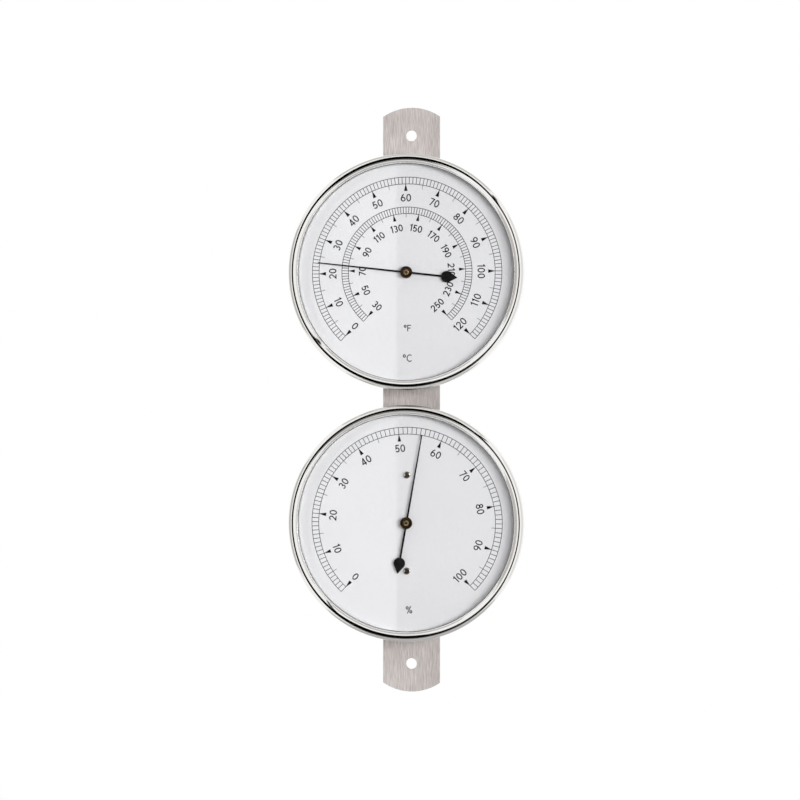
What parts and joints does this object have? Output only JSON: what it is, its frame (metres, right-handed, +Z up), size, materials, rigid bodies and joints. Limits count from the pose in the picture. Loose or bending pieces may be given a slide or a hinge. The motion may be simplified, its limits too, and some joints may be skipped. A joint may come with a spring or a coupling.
{
  "type": "sauna thermometer",
  "caption": "Wall thermometer and hygrometer with round glazed dials in polished bezels on one brushed steel hanging strap.",
  "frame": {"origin": "centre of the top screw hole, on the wall plane that the strap's back lies on", "axes": "+Z up along the strap, the dials face -Y, +Y points into the wall, +X to the right seen from the front"},
  "size_m": [0.102, 0.0272, 0.2566],
  "materials": {
    "brushed_strap_steel": "stainless steel strip, brushed along its length",
    "drawn_case_steel": "drawn stainless steel, satin",
    "bezel_steel": "rolled stainless steel, mirror polished",
    "rivet_steel": "stainless steel, upset",
    "screw_steel": "nickel plated steel, slotted",
    "arbor_steel": "turned steel, polished",
    "spring_steel": "hardened spring steel",
    "movement_brass": "stamped and turned brass",
    "hub_brass": "blackened brass",
    "bimetal": "bimetal strip, cold rolled",
    "dial_enamel": "white enamelled aluminium, printed in black",
    "pointer_lacquer": "black lacquered aluminium",
    "spacer_plastic": "moulded white plastic",
    "seal_rubber": "flat rubber seal",
    "window_glass": "clear flat glass",
    "hair": "degreased hair strands"
  },
  "bodies": {
    "stand": {"hanging_strap": "brushed_strap_steel", "thermometer_case": "drawn_case_steel", "thermometer_case_rivets": "rivet_steel", "thermometer_base_plate": "movement_brass", "thermometer_bridge": "movement_brass", "thermometer_front_bush": "movement_brass", "thermometer_dial": "dial_enamel", "thermometer_spacer_ring": "spacer_plastic", "thermometer_glass": "window_glass", "thermometer_glass_seal": "seal_rubber", "thermometer_bezel": "bezel_steel", "hygrometer_case": "drawn_case_steel", "hygrometer_case_rivets": "rivet_steel", "hygrometer_cock": "movement_brass", "hygrometer_cock_posts": "movement_brass", "hygrometer_cock_screws": "screw_steel", "hygrometer_rear_bush": "movement_brass", "hygrometer_hairspring": "spring_steel", "hygrometer_hairspring_stud": "movement_brass", "hygrometer_lever_stud": "arbor_steel", "hygrometer_lever_clip": "spring_steel", "hygrometer_hair": "hair", "hygrometer_frame": "movement_brass", "hygrometer_front_bush": "movement_brass", "hygrometer_pillars": "movement_brass", "hygrometer_dial": "dial_enamel", "hygrometer_dial_screws": "screw_steel", "hygrometer_spacer_ring": "spacer_plastic", "hygrometer_glass": "window_glass", "hygrometer_glass_seal": "seal_rubber", "hygrometer_bezel": "bezel_steel"},
    "spiral_adjuster": {"thermometer_spiral_adjuster": "movement_brass", "thermometer_adjuster_clip": "spring_steel", "thermometer_bimetal_spiral": "bimetal"},
    "temperature_pointer": {"thermometer_arbor": "arbor_steel", "thermometer_spiral_collet": "movement_brass", "thermometer_pointer": "pointer_lacquer", "thermometer_pointer_hub": "hub_brass"},
    "humidity_pointer": {"hygrometer_arbor": "arbor_steel", "hygrometer_pinion": "movement_brass", "hygrometer_hairspring_collet": "movement_brass", "hygrometer_pointer": "pointer_lacquer", "hygrometer_pointer_hub": "hub_brass"},
    "sector_lever": {"hygrometer_sector_lever": "movement_brass", "hygrometer_lower_hair_clamp": "movement_brass"},
    "hair_adjuster": {"hygrometer_hair_adjuster": "movement_brass", "hygrometer_upper_hair_clamp": "movement_brass", "hygrometer_adjuster_clip": "spring_steel"}
  },
  "joints": [
    {"name": "spiral_adjuster_turn", "type": "hinge", "parent": "stand", "child": "spiral_adjuster", "pos_m": [0, -0.006, -0.0609], "axis": [0, 1, 0], "range_deg": [-25, 25]},
    {"name": "temperature_pointer_turn", "type": "hinge", "parent": "spiral_adjuster", "child": "temperature_pointer", "pos_m": [0, -0.021, -0.0609], "axis": [0, 1, 0], "range_deg": [-51.4, 218.6], "stiffness_Nm_per_rad": 0.0002, "deforming": ["thermometer_bimetal_spiral"]},
    {"name": "humidity_pointer_turn", "type": "hinge", "parent": "stand", "child": "humidity_pointer", "pos_m": [0, -0.021, -0.1694], "axis": [0, 1, 0], "range_deg": [-146.3, 124.6], "stiffness_Nm_per_rad": 0.0002, "deforming": ["hygrometer_hairspring"]},
    {"name": "sector_lever_turn", "type": "hinge", "parent": "stand", "child": "sector_lever", "pos_m": [-0.01471, -0.0085, -0.18411], "axis": [0, 1, 0], "range_deg": [-11, 13], "deforming": ["hygrometer_hair"]},
    {"name": "hair_adjuster_turn", "type": "hinge", "parent": "stand", "child": "hair_adjuster", "pos_m": [-0.02291, -0.008, -0.13808], "axis": [0, 1, 0], "range_deg": [-20, 20], "deforming": ["hygrometer_hair"]}
  ],
  "couplings": [
    {"joint": "sector_lever_turn", "follows": "humidity_pointer_turn", "ratio": -0.083333}
  ]
}
